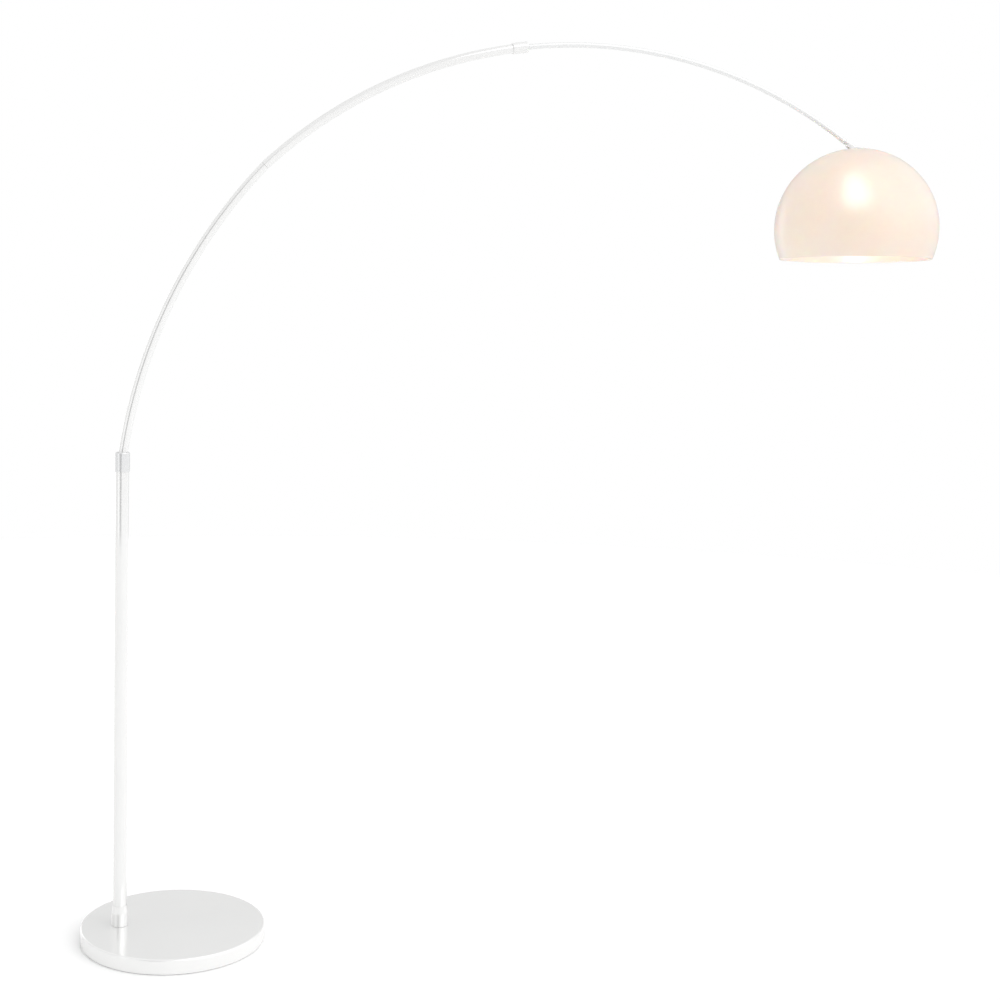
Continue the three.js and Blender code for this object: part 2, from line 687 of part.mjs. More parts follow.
add(groupAt(station(pivot.point.x, pivot.point.z, 0)), 'tilt_pin', 'white_lacquer', tiltPin());
add(head, 'shade_cap', 'white_lacquer', shadeCap());
add(head, 'head_nipple', 'steel',
  ring(HEAD_NIPPLE_RADIUS, 3.3, HEAD_NIPPLE_BOTTOM, SHADE_TOP + CAP_HEIGHT - 2.3, 24));
add(head, 'shade', 'acrylic', shade());
add(head, 'shade_washer', 'rubber',
  ring(14, HEAD_NIPPLE_RADIUS + GAP, SHADE_TOP - SHADE_WALL - 1.8, SHADE_TOP - SHADE_WALL - GAP, 28));
add(head, 'shade_lock_nut', 'steel', hexNut(16, HEAD_NIPPLE_RADIUS + GAP, SHADE_TOP - 9.1, 4));
add(head, 'holder_cap', 'holder_plastic', holderCap());
add(head, 'holder_skirt', 'holder_plastic',
  ring(HOLDER_RADIUS, 15.8, SKIRT_BOTTOM, CAP_RIM - GAP, 32));
add(head, 'socket_insert', 'ceramic',
  disc(SOCKET_RADIUS, INSERT_BOTTOM, INSERT_BOTTOM + INSERT_THICKNESS, 28));
add(head, 'socket_shell', 'brass',
  ring(SOCKET_RADIUS, SOCKET_RADIUS - 1, SKIRT_BOTTOM + 4, INSERT_BOTTOM - GAP, 28));
add(head, 'socket_contact', 'brass', disc(4, INSERT_BOTTOM - 3.3, INSERT_BOTTOM - GAP, 20));
add(head, 'bulb_base', 'steel', bulbBase());
add(head, 'bulb_glass', 'bulb_glass', bulbGlass());

export default lamp;
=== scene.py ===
"""The looks of an arc floor lamp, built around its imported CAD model. Metres, +Z up.

Every visible solid of the lamp is replaced by a fine mesh of the same shape. Pieces that are
sealed inside the lamp keep their CAD solids and get a material of their own.
"""

import json
import math

import bmesh
import bpy
from mathutils import Matrix, Vector


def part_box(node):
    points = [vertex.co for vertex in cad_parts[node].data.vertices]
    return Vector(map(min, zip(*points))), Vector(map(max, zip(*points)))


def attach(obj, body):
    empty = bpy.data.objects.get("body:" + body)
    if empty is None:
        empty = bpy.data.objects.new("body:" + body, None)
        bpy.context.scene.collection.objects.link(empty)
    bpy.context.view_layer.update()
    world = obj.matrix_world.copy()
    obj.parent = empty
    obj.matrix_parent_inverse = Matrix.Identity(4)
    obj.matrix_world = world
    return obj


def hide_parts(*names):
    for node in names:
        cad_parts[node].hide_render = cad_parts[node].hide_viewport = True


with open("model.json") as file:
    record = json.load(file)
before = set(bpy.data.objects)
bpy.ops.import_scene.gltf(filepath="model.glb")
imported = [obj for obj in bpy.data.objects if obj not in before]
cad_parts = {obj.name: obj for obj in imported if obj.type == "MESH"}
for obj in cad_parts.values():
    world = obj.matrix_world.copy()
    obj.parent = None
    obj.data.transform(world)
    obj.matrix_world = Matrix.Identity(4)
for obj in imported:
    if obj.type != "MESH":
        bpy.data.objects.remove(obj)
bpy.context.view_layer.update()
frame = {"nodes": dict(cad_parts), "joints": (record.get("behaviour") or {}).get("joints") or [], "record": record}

MM = 0.001


# ---------------------------------------------------------------- camera

FOCAL_LENGTH = 54.605
SENSOR_WIDTH = 36.0
CAMERA_PLACE = (0.0, -3.3178, 1.3311)
CAMERA_HEADING = math.radians(7.64)     # from +Y towards +X
CAMERA_PITCH = math.radians(1.8)        # downwards
CAMERA_ROLL = math.radians(0.64)
CAMERA_SHIFT = (0.12, -0.12)


def make_camera():
    data = bpy.data.cameras.new("camera")
    data.lens = FOCAL_LENGTH
    data.sensor_width = SENSOR_WIDTH
    data.shift_x, data.shift_y = CAMERA_SHIFT
    camera = bpy.data.objects.new("camera", data)
    bpy.context.scene.collection.objects.link(camera)
    level = Vector((math.sin(CAMERA_HEADING), math.cos(CAMERA_HEADING), 0))
    side = Vector((math.cos(CAMERA_HEADING), -math.sin(CAMERA_HEADING), 0))
    up = Vector((0, 0, 1))
    forward = level * math.cos(CAMERA_PITCH) - up * math.sin(CAMERA_PITCH)
    above = up * math.cos(CAMERA_PITCH) + level * math.sin(CAMERA_PITCH)
    right = side * math.cos(CAMERA_ROLL) + above * math.sin(CAMERA_ROLL)
    top = above * math.cos(CAMERA_ROLL) - side * math.sin(CAMERA_ROLL)
    turn = Matrix((right, top, -forward)).transposed().to_4x4()
    camera.matrix_world = Matrix.Translation(CAMERA_PLACE) @ turn
    bpy.context.scene.camera = camera


make_camera()


# ---------------------------------------------------------------- sizes

GAP = 0.3 * MM


def middle(node):
    low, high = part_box(node)
    return (low + high) / 2


def width(node):
    low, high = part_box(node)
    return high.x - low.x


def joint_place(name):
    return Vector(next(j["pos_m"] for j in frame["joints"] if j["name"] == name))


POLE_X = middle("pole_tube").x
POLE_RADIUS = width("pole_tube") / 2
POLE_WALL = 1.5 * MM
POLE_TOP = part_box("pole_tube")[1].z
FELT_INSET = 12 * MM
BASE_RADIUS = width("base_felt") / 2 + FELT_INSET
BASE_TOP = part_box("base_cover")[1].z
BASE_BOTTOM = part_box("base_cover")[0].z

# The arm's centre line, as in the CAD source.
ARM_RADIUS = 10 * MM
ARM_WALL = 1.5 * MM
THIN_RADIUS = 6 * MM
THIN_WALL = 1.4 * MM
SHANK_BOTTOM = 700 * MM
SHANK_BEND = 150 * MM                   # radius of the bend inside the pole's collar
LEAN = math.radians(8.27)               # of the arm above the collar, from upright
LOWER_BEND = 1160 * MM                  # radius and turn of the lower arm tube
LOWER_TURN = math.radians(34.78)
KINK = math.radians(3.43)               # between the lower and the middle tube
MIDDLE_TURN = math.radians(35.2)        # of the middle tube, round the upper circle
THIN_START = math.radians(23.4)         # where the thin tube begins on that circle
TUBE_END = 12 * MM                      # from the thin tube's end to the tilt pin
COLLAR_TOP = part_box("pole_collar")[1].z
UPPER_CENTRE = joint_place("arm_extension")
PIVOT = joint_place("shade_tilt")
UPPER_BEND = (PIVOT - UPPER_CENTRE).length

SHADE_X = middle("shade").x
SHADE_RADIUS = width("shade") / 2
SHADE_RIM, SHADE_TOP = (corner.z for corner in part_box("shade"))
SHADE_MIDDLE = 1581 * MM                # height of the shade's widest line
SHADE_WALL = 3 * MM
DOME_RISE = 183.5 * MM                  # half heights of the ellipses above and below that line
DOME_DROP = 186 * MM
BULB_FADE = (1.70, 1.655)               # heights between which the bulb gets brighter
BULB_STRENGTH = (4, 21)


# ---------------------------------------------------------------- materials

class Look:
    """A procedural material: one Principled shader, and the nodes for its colour and relief."""

    def __init__(self, name, **fixed):
        self.material = bpy.data.materials.new(name)
        self.material.use_nodes = True
        self.tree = self.material.node_tree
        self.shader = self.tree.nodes["Principled BSDF"]
        for socket, value in fixed.items():
            label = socket.replace("_", " ").title().replace("Ior", "IOR")
            self.shader.inputs[label].default_value = value
        self.place = self.add("ShaderNodeTexCoord").outputs["Object"]
        self.relief = None

    def add(self, kind, **settings):
        node = self.tree.nodes.new(kind)
        for name, value in settings.items():
            setattr(node, name, value)
        return node

    def link(self, start, end):
        self.tree.links.new(start, end)

    def stretched(self, stretch):
        mapping = self.add("ShaderNodeMapping")
        mapping.inputs["Scale"].default_value = stretch
        self.link(self.place, mapping.inputs["Vector"])
        return mapping.outputs["Vector"]

    def noise(self, scale, detail=3.0, stretch=None):
        node = self.add("ShaderNodeTexNoise")
        node.inputs["Scale"].default_value = scale
        node.inputs["Detail"].default_value = detail
        self.link(self.stretched(stretch) if stretch else self.place, node.inputs["Vector"])
        return node.outputs["Fac"]

    def cells(self, scale, stretch=None):
        node = self.add("ShaderNodeTexVoronoi")
        node.inputs["Scale"].default_value = scale
        self.link(self.stretched(stretch) if stretch else self.place, node.inputs["Vector"])
        return node.outputs["Distance"]

    def height(self, low, high):
        """0 at height low and 1 at height high, for a change of colour up the lamp."""
        split = self.add("ShaderNodeSeparateXYZ")
        self.link(self.place, split.inputs["Vector"])
        return self.spread(split.outputs["Z"], 0, 1, low, high)

    def spread(self, value, low, high, start=0.3, end=0.7):
        node = self.add("ShaderNodeMapRange")
        limits = {"From Min": start, "From Max": end, "To Min": low, "To Max": high}
        for socket, number in limits.items():
            node.inputs[socket].default_value = number
        self.link(value, node.inputs["Value"])
        return node.outputs["Result"]

    def product(self, a, b):
        node = self.add("ShaderNodeMath", operation="MULTIPLY")
        self.link(a, node.inputs[0])
        self.link(b, node.inputs[1])
        return node.outputs[0]

    def between(self, share, first, second):
        node = self.add("ShaderNodeMix", data_type="RGBA")
        self.link(share, node.inputs["Factor"])
        first_colour, second_colour = node.inputs[6], node.inputs[7]
        for socket, colour in ((first_colour, first), (second_colour, second)):
            if isinstance(colour, tuple):
                socket.default_value = (*colour, 1)
            else:
                self.link(colour, socket)
        return node.outputs[2]

    def colour(self, output):
        self.link(output, self.shader.inputs["Base Color"])

    def gloss(self, output):
        self.link(output, self.shader.inputs["Roughness"])

    def bump(self, output, strength, distance):
        node = self.add("ShaderNodeBump")
        node.inputs["Strength"].default_value = strength
        node.inputs["Distance"].default_value = distance
        self.link(output, node.inputs["Height"])
        if self.relief:
            self.link(self.relief, node.inputs["Normal"])
        self.relief = node.outputs["Normal"]
        self.link(self.relief, self.shader.inputs["Normal"])


def lacquer(name, first, second, metallic, gloss, peel=0.02):
    """Sprayed lacquer on steel: slight clouds of colour and gloss, and a faint orange peel.

    gloss is the least and the greatest roughness, peel the strength of the orange peel.
    """
    look = Look(name, metallic=metallic, coat_weight=0.5, coat_roughness=0.06)
    look.colour(look.between(look.spread(look.noise(4), 0, 1), first, second))
    look.gloss(look.spread(look.noise(55), *gloss))
    look.bump(look.noise(300, 2), peel, 0.1 * MM)
    look.bump(look.noise(60, 1), 0.03, 0.2 * MM)
    return look.material


def felt():
    look = Look("felt", sheen_weight=0.35, sheen_roughness=0.6)
    fibres = look.noise(900, 6, (1, 1, 3))
    tufts = look.cells(260)
    shade_of = look.between(fibres, (0.36, 0.365, 0.37), (0.56, 0.565, 0.57))
    look.colour(look.between(look.spread(look.noise(25), 0, 0.5), shade_of, (0.45, 0.455, 0.46)))
    look.gloss(look.spread(fibres, 0.88, 1.0))
    look.bump(tufts, 0.5, 0.6 * MM)
    look.bump(fibres, 0.8, 0.3 * MM)
    return look.material


def cast_iron():
    look = Look("cast_iron", metallic=0.85)
    grain = look.noise(700, 6)
    stain = look.spread(look.noise(18, 5), 0, 1, 0.45, 0.75)
    look.colour(look.between(stain, (0.075, 0.077, 0.08), (0.11, 0.075, 0.055)))
    look.gloss(look.spread(grain, 0.5, 0.8))
    look.bump(look.noise(90, 4), 0.5, 1 * MM)
    look.bump(grain, 0.6, 0.3 * MM)
    return look.material


def plated_steel():
    look = Look("plated_steel", metallic=1.0)
    lines = look.noise(300, 3, (1, 1, 12))
    look.colour(look.between(look.noise(30), (0.62, 0.63, 0.65), (0.74, 0.75, 0.76)))
    look.gloss(look.spread(lines, 0.22, 0.4))
    look.bump(lines, 0.12, 0.1 * MM)
    return look.material


def brass():
    look = Look("brass", metallic=1.0)
    tarnish = look.spread(look.noise(60), 0, 1)
    look.colour(look.between(tarnish, (0.78, 0.56, 0.22), (0.62, 0.43, 0.17)))
    look.gloss(look.spread(look.noise(150), 0.18, 0.36))
    look.bump(look.noise(500, 2), 0.1, 0.1 * MM)
    return look.material


def moulded(name, first, second, gloss, grain, depth):
    """Moulded plastic, rubber or ceramic: a fine grain over faint clouds of colour."""
    look = Look(name)
    look.colour(look.between(look.spread(look.noise(35), 0, 1), first, second))
    look.gloss(look.spread(look.noise(200), *gloss))
    look.bump(look.cells(grain), 0.3, depth)
    look.bump(look.noise(grain / 4, 2), 0.15, depth)
    return look.material


def acrylic():
    """Opal acrylic: light scatters in the wall, and a share of it comes straight through.

    Its faint glow stands for the light that bounces about inside the shade.
    """
    look = Look(
        "opal_acrylic",
        ior=1.49,
        roughness=0.30,
        transmission_weight=0.4,
        subsurface_weight=1.0,
        subsurface_scale=0.004,
        coat_weight=0.2,
        coat_roughness=0.07,
        emission_strength=0.022,
        emission_color=(1.0, 0.6, 0.7, 1.0),
    )
    look.shader.inputs["Subsurface Radius"].default_value = (1.0, 0.75, 0.5)
    clouds = look.spread(look.noise(9), 0, 1)
    flow = look.spread(look.noise(5, 2, (1, 1, 6)), 0, 1)
    body = look.between(clouds, (0.94, 0.845, 0.785), (0.95, 0.865, 0.81))
    look.colour(look.between(look.product(clouds, flow), body, (0.955, 0.885, 0.83)))
    look.bump(look.noise(26, 1), 0.05, 0.5 * MM)
    return look.material


def lit_bulb():
    """A frosted bulb, whose light is weaker and warmer towards its neck."""
    look = Look("frosted_bulb", roughness=0.45, coat_weight=0.3, coat_roughness=0.2)
    glow = look.height(*BULB_FADE)
    look.colour(look.between(look.noise(90), (0.95, 0.93, 0.88), (0.98, 0.96, 0.92)))
    tint = look.between(glow, (1.0, 0.84, 0.68), (1.0, 0.99, 0.98))
    look.link(tint, look.shader.inputs["Emission Color"])
    strength = look.spread(glow, *BULB_STRENGTH, 0, 1)
    look.link(strength, look.shader.inputs["Emission Strength"])
    look.bump(look.noise(900, 2), 0.1, 0.1 * MM)
    return look.material


MATERIALS = {
    "white_lacquer": lacquer(
        "white_lacquer", (0.825, 0.825, 0.82), (0.85, 0.85, 0.845), 0.45, gloss=(0.07, 0.11)),
    "collar_lacquer": lacquer(
        "collar_lacquer", (0.73, 0.735, 0.74), (0.77, 0.775, 0.78), 0.45, gloss=(0.12, 0.18)),
    "felt": felt(),
    "cast_iron": cast_iron(),
    "steel": plated_steel(),
    "brass": brass(),
    "nylon": moulded(
        "nylon", (0.80, 0.78, 0.72), (0.84, 0.82, 0.77), (0.4, 0.55), 900, 0.1 * MM),
    "rubber": moulded(
        "rubber", (0.62, 0.62, 0.61), (0.68, 0.68, 0.67), (0.55, 0.75), 1200, 0.15 * MM),
    "holder_plastic": moulded(
        "holder_plastic", (0.82, 0.81, 0.78), (0.86, 0.85, 0.82), (0.35, 0.5), 1000, 0.1 * MM),
    "ceramic": moulded(
        "ceramic", (0.8, 0.79, 0.75), (0.87, 0.86, 0.83), (0.4, 0.7), 700, 0.15 * MM),
    "wire": moulded(
        "wire", (0.78, 0.78, 0.77), (0.82, 0.82, 0.81), (0.45, 0.6), 1500, 0.05 * MM),
    "acrylic": acrylic(),
    "bulb_glass": lit_bulb(),
}
# Two more lacquers for pieces in the white_lacquer slot. The thin tube's is the same white paint made rougher, and
# its darker colour is painted shade.
COVER_LACQUER = lacquer(
    "cover_lacquer", (0.84, 0.84, 0.835), (0.86, 0.86, 0.855), 0.45, gloss=(0.14, 0.18), peel=0.005)
THIN_TUBE_SHADED_LACQUER = lacquer(
    "thin_tube_painted_shade_lacquer", (0.795, 0.8, 0.8), (0.82, 0.825, 0.825), 0.3, gloss=(0.22, 0.28))
SHARP = math.radians(32)                # a crease sharper than this is not shaded smooth
TINY = 1e-9                             # a shorter distance counts as none
FLAT = 1e-7                             # how far from a plane a corner may lie and be on it


# ---------------------------------------------------------------- meshes

def object_of(name, mesh_data, smooth=True):
    """An object of a bmesh, shaded smooth between its sharp edges."""
    bmesh.ops.recalc_face_normals(mesh_data, faces=mesh_data.faces)
    mesh = bpy.data.meshes.new(name)
    mesh_data.to_mesh(mesh)
    mesh_data.free()
    piece = bpy.data.objects.new(name, mesh)
    bpy.context.scene.collection.objects.link(piece)
    if smooth:
        shade_faces(piece)
    return piece


def shade_faces(piece):
    piece.data.shade_smooth()
    piece.data.set_sharp_from_angle(angle=SHARP)


def supported(outline, reach=0.6 * MM):
    """The outline with points added near the ends of long straights, so that they shade flat."""
    points = [outline[0]]
    for start, end in zip(outline, outline[1:]):
        a, b = Vector(start), Vector(end)
        length = (b - a).length
        if length > 6 * reach:
            step = (b - a) * (reach / length)
            points += [tuple(a + step), tuple(b - step)]
        points.append(end)
    return points


def turned(name, outline, sides=96):
    """A solid turned about Z from an outline of (radius, height), closed or ending on the axis."""
    mesh_data = bmesh.new()
    points = supported(outline)
    closed = (Vector(points[0]) - Vector(points[-1])).length < TINY
    if closed:
        points = points[:-1]
    rings = []
    for radius, height in points:
        if radius < TINY:
            rings.append([mesh_data.verts.new((0, 0, height))] * sides)
        else:
            rings.append([
                mesh_data.verts.new((
                    radius * math.cos(2 * math.pi * i / sides),
                    radius * math.sin(2 * math.pi * i / sides),
                    height,
                ))
                for i in range(sides)
            ])
    pairs = list(zip(rings, rings[1:]))
    if closed:
        pairs.append((rings[-1], rings[0]))
    for lower, upper in pairs:
        for i in range(sides):
            j = (i + 1) % sides
            corners = [lower[i], lower[j], upper[j], upper[i]]
            corners = [v for k, v in enumerate(corners) if v not in corners[:k]]
            if len(corners) > 2:
                mesh_data.faces.new(corners)
    return object_of(name, mesh_data)


def quarter(radius, height, size, start, end, steps=6):
    """Points of a round in an outline, from one angle to another in degrees."""
    angles = [math.radians(start + (end - start) * i / steps) for i in range(steps + 1)]
    return [(radius + size * math.cos(a), height + size * math.sin(a)) for a in angles]


def ring_outline(outer, inner, bottom, top, edge=0.4 * MM):
    """The outline of a ring with small rounds on its two outer edges."""
    return [
        (inner, bottom),
        *quarter(outer - edge, bottom + edge, edge, -90, 0, 4),
        *quarter(outer - edge, top - edge, edge, 0, 90, 4),
        (inner, top),
        (inner, bottom),
    ]


def placed(piece, matrix):
    piece.data.transform(matrix)
    return piece


def cut(piece, *tools):
    """Takes the tools out of the piece."""
    for tool in tools:
        combine(piece, tool, "DIFFERENCE")


def combine(piece, tool, operation):
    modifier = piece.modifiers.new(operation, "BOOLEAN")
    modifier.operation = operation
    modifier.object = tool
    modifier.solver = "EXACT"
    graph = bpy.context.evaluated_depsgraph_get()
    mesh = bpy.data.meshes.new_from_object(piece.evaluated_get(graph))
    piece.modifiers.clear()
    piece.data = mesh
    shade_faces(piece)
    bpy.data.objects.remove(tool)


def rod(radius, start, end, sides=48):
    """A plain round tool for cutting, from one point to another."""
    a, b = Vector(start), Vector(end)
    mesh_data = bmesh.new()
    length = (b - a).length
    bmesh.ops.create_cone(
        mesh_data, cap_ends=True, segments=sides, radius1=radius, radius2=radius, depth=length)
    turn = Vector((0, 0, 1)).rotation_difference(b - a).to_matrix().to_4x4()
    place = Matrix.Translation((a + b) / 2) @ turn
    bmesh.ops.transform(mesh_data, matrix=place, verts=mesh_data.verts)
    return object_of("tool", mesh_data, smooth=False)


class Station:
    """A place on the arm's centre line. Its slope is the angle from straight up towards +X."""

    def __init__(self, x, z, slope):
        self.point = Vector((x, 0, z))
        self.slope = slope

    def along(self):
        return Vector((math.sin(self.slope), 0, math.cos(self.slope)))

    def moved(self, reach):
        point = self.point + self.along() * reach
        return Station(point.x, point.z, self.slope)

    def matrix(self):
        """From a piece's own space, with Z along the arm, to the lamp's frame."""
        return Matrix.Translation(self.point) @ Matrix.Rotation(self.slope, 4, "Y")


def bend(start, radius, turn, steps):
    """Stations of a circular bend from a station towards +X."""
    stations = []
    for i in range(steps + 1):
        slope = start.slope + turn * i / steps
        x = start.point.x + radius * (math.cos(start.slope) - math.cos(slope))
        z = start.point.z + radius * (math.sin(slope) - math.sin(start.slope))
        stations.append(Station(x, z, slope))
    return stations


def upper_station(turn):
    """A place on the upper circle, counted from the kink."""
    slope = KINK_SLOPE + turn
    return Station(
        UPPER_CENTRE.x - UPPER_BEND * math.cos(slope),
        UPPER_CENTRE.z + UPPER_BEND * math.sin(slope),
        slope,
    )


def upper_arc(start, end, steps):
    return [upper_station(start + (end - start) * i / steps) for i in range(steps + 1)]


def swept(name, stations, outer, inner, sides=48, edge=0.35 * MM):
    """A tube along the stations, open at both ends, with its outer end edges just broken."""
    first, last = stations[0], stations[-1]
    rows = [
        (first, outer - edge),
        (first.moved(edge), outer),
        *((station, outer) for station in stations[1:-1]),
        (last.moved(-edge), outer),
        (last, outer - edge),
        *((station, inner) for station in reversed(stations)),
    ]
    mesh_data = bmesh.new()
    rings = []
    for place, radius in rows:
        across = place.along().cross(Vector((0, 1, 0)))
        rings.append([
            mesh_data.verts.new(
                place.point
                + across * (radius * math.cos(2 * math.pi * i / sides))
                + Vector((0, 1, 0)) * (radius * math.sin(2 * math.pi * i / sides)))
            for i in range(sides)
        ])
    for lower, upper in zip(rings, rings[1:] + rings[:1]):
        for i in range(sides):
            j = (i + 1) % sides
            mesh_data.faces.new((lower[i], lower[j], upper[j], upper[i]))
    return object_of(name, mesh_data)


KINK_SLOPE = LEAN + LOWER_TURN + KINK
PIVOT_TURN = math.atan2(PIVOT.z - UPPER_CENTRE.z, UPPER_CENTRE.x - PIVOT.x) - KINK_SLOPE
bend_start = Station(POLE_X, COLLAR_TOP - SHANK_BEND * math.sin(LEAN), 0)
hidden_bend = bend(bend_start, SHANK_BEND, LEAN, 5)
lower_arc = bend(hidden_bend[-1], LOWER_BEND, LOWER_TURN, 48)


def finished(piece, body, slot, *nodes, material=None):
    """The piece rides on a body, stands for CAD nodes and takes its slot's material."""
    piece.data.materials.clear()
    piece.data.materials.append(material or MATERIALS[slot])
    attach(piece, body)
    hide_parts(*nodes)


# ---------------------------------------------------------------- base and pole

EDGE_ROUND = 4 * MM
COVER_WALL = 2 * MM
NIPPLE_HOLE = 7 * MM
INLET_HOLE = 6 * MM
INLET_DIRECTION = math.radians(125)
FELT_HOLE = 18 * MM
SLEEVE_CONE = 15 * MM                   # height of the cone above the sleeve's cylinder
SLEEVE_EDGE = 0.15 * MM


def over_pole():
    return Matrix.Translation((POLE_X, 0, 0))


def base_cover():
    inner = BASE_RADIUS - COVER_WALL
    under = BASE_TOP - COVER_WALL
    inner_round = EDGE_ROUND - COVER_WALL
    hem = 0.6 * MM
    cover = turned("lacquered_base_cover", [
        (0, under),
        *quarter(inner - inner_round, under - inner_round, inner_round, 90, 0),
        (inner, BASE_BOTTOM),
        *quarter(BASE_RADIUS - hem, BASE_BOTTOM + hem, hem, -90, 0, 3),
        *quarter(BASE_RADIUS - EDGE_ROUND, BASE_TOP - EDGE_ROUND, EDGE_ROUND, 0, 90, 10),
        (0, BASE_TOP),
    ], 192)
    inlet_height = middle("cable_inlet").z
    reach = Vector((math.cos(INLET_DIRECTION), math.sin(INLET_DIRECTION), 0))
    lift = Vector((0, 0, inlet_height))
    cut(
        cover,
        rod(NIPPLE_HOLE, (POLE_X, 0, 0), (POLE_X, 0, 2 * BASE_TOP)),
        rod(INLET_HOLE, reach * (inner - 10 * MM) + lift, reach * (BASE_RADIUS + 10 * MM) + lift),
    )
    finished(cover, "base_and_pole", "white_lacquer", "base_cover", material=COVER_LACQUER)


def base_felt():
    low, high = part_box("base_felt")
    radius = (high.x - low.x) / 2
    edge = 0.7 * MM
    pad = turned("felt_pad", [
        (0, low.z),
        *quarter(radius - edge, low.z + edge, edge, -90, 0, 3),
        *quarter(radius - edge, high.z - edge, edge, 0, 90, 3),
        (0, high.z),
    ], 144)
    cut(pad, rod(FELT_HOLE, (POLE_X, 0, -5 * MM), (POLE_X, 0, 5 * MM)))
    finished(pad, "base_and_pole", "felt", "base_felt")


def cable_inlet():
    back = BASE_RADIUS - 6 * MM
    groove_start = back + 3.1 * MM
    groove_end = BASE_RADIUS + 0.6 * MM
    front = BASE_RADIUS + 2.8 * MM
    bore = 3.5 * MM
    groove = 5.6 * MM
    flange = 8 * MM
    inlet = turned("cable_grommet", [
        (bore, back),
        (7 * MM, back),
        *quarter(7 * MM, back + 1 * MM, 0.5 * MM, -90, 0, 3),
        (7.5 * MM, groove_start),
        (groove, groove_start),
        (groove, groove_end),
        (flange, groove_end),
        *quarter(flange - 1 * MM, front - 1 * MM, 1 * MM, 0, 90, 5),
        *quarter(bore + 0.7 * MM, front - 0.7 * MM, 0.7 * MM, 90, 180, 4),
        (bore, back),
    ], 64)
    turn = Matrix.Rotation(INLET_DIRECTION, 4, "Z") @ Matrix.Rotation(math.radians(90), 4, "Y")
    placed(inlet, Matrix.Translation((0, 0, middle("cable_inlet").z)) @ turn)
    finished(inlet, "base_and_pole", "rubber", "cable_inlet")


def foot_sleeve():
    low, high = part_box("foot_sleeve")
    bore = POLE_RADIUS + GAP
    outer = (high.x - low.x) / 2
    sleeve = turned("foot_sleeve_skin", [
        (bore, low.z),
        *quarter(outer - SLEEVE_EDGE, low.z + SLEEVE_EDGE, SLEEVE_EDGE, -90, 0, 3),
        *quarter(outer - 2 * MM, high.z - SLEEVE_CONE - 0.6 * MM, 2 * MM, 0, 8, 3),
        *quarter(bore, high.z - 0.5 * MM, 0.5 * MM, 8, 90, 4),
        (bore, low.z),
    ])
    placed(sleeve, over_pole())
    finished(
        sleeve, "base_and_pole", "white_lacquer", "foot_sleeve", material=COVER_LACQUER)


def pole_tube():
    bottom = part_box("pole_tube")[0].z
    inner = POLE_RADIUS - POLE_WALL
    tube = turned("pole_skin", ring_outline(POLE_RADIUS, inner, bottom, POLE_TOP))
    finished(placed(tube, over_pole()), "base_and_pole", "white_lacquer", "pole_tube")


# ---------------------------------------------------------------- swivel collar

COLLAR_SCREW_HOLE = 2.8 * MM


def pole_collar():
    low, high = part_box("pole_collar")
    outer = (high.x - low.x) / 2
    fit = POLE_RADIUS + 0.35 * MM
    mouth = ARM_RADIUS + 2.3 * MM
    step = POLE_TOP + 2.7 * MM
    collar = turned("collar_skin", [
        (fit, low.z),
        *quarter(outer - 0.6 * MM, low.z + 0.6 * MM, 0.6 * MM, -90, 0, 5),
        *quarter(outer - 3 * MM, high.z - 3 * MM, 3 * MM, 0, 90, 10),
        *quarter(mouth + 0.4 * MM, high.z - 0.4 * MM, 0.4 * MM, 90, 180, 3),
        (mouth, step),
        (fit, step),
        (fit, low.z),
    ])
    screw_height = middle("collar_set_screw").z
    placed(collar, over_pole())
    screw_end = (POLE_X, 2 * outer, screw_height)
    cut(collar, rod(COLLAR_SCREW_HOLE, (POLE_X, 0, screw_height), screw_end))
    finished(collar, "swivel_collar", "collar_lacquer", "pole_collar")


def grub_screw(name, radius, length):
    """A grub screw. Its outer end, with the hexagon socket, is at the origin and faces +Z."""
    edge = 0.3 * MM
    screw = turned(name, [
        (0, -length),
        (radius - 2 * edge, -length),
        (radius, -length + 2 * edge),
        *quarter(radius - edge, -edge, edge, 0, 90, 3),
        (0, 0),
    ], 48)
    socket = radius / 2
    cut(screw, rod(socket, (0, 0, -radius), (0, 0, radius), 6))
    return screw


def collar_screw():
    low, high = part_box("collar_set_screw")
    screw = grub_screw("collar_grub_screw", (high.z - low.z) / 2, high.y - low.y)
    turn = Matrix.Rotation(math.radians(-90), 4, "X")
    placed(screw, Matrix.Translation((POLE_X, high.y, (low.z + high.z) / 2)) @ turn)
    finished(screw, "swivel_collar", "steel", "collar_set_screw")


# ---------------------------------------------------------------- arm

ARM_COLLAR_RADIUS = 12.5 * MM
ARM_COLLAR_LENGTH = 34 * MM
ARM_COLLAR_SHIFT = -2 * MM
ARM_SCREW_PLACE = 11 * MM
ARM_SCREW_RADIUS = 2 * MM
ARM_SCREW_HOLE = 2.3 * MM
PIN_HOLE = 2.3 * MM


def thick_tubes():
    shank = Station(POLE_X, SHANK_BOTTOM, 0)
    half_gap = GAP / 2
    mitre = KINK_SLOPE - KINK / 2
    lower_end = lower_arc[-1].moved(-half_gap)
    lower_end.slope = mitre
    lower = swept(
        "lower_arm_skin", [shank, *hidden_bend, *lower_arc[1:-1], lower_end],
        ARM_RADIUS, ARM_RADIUS - ARM_WALL)
    finished(lower, "lower_arm", "white_lacquer", "lower_arm_tube")
    start = upper_station(0).moved(half_gap)
    start.slope = mitre
    middle_tube = swept(
        "middle_arm_skin", [start, *upper_arc(0, MIDDLE_TURN, 48)[1:]],
        ARM_RADIUS, ARM_RADIUS - ARM_WALL)
    finished(middle_tube, "lower_arm", "white_lacquer", "middle_arm_tube")


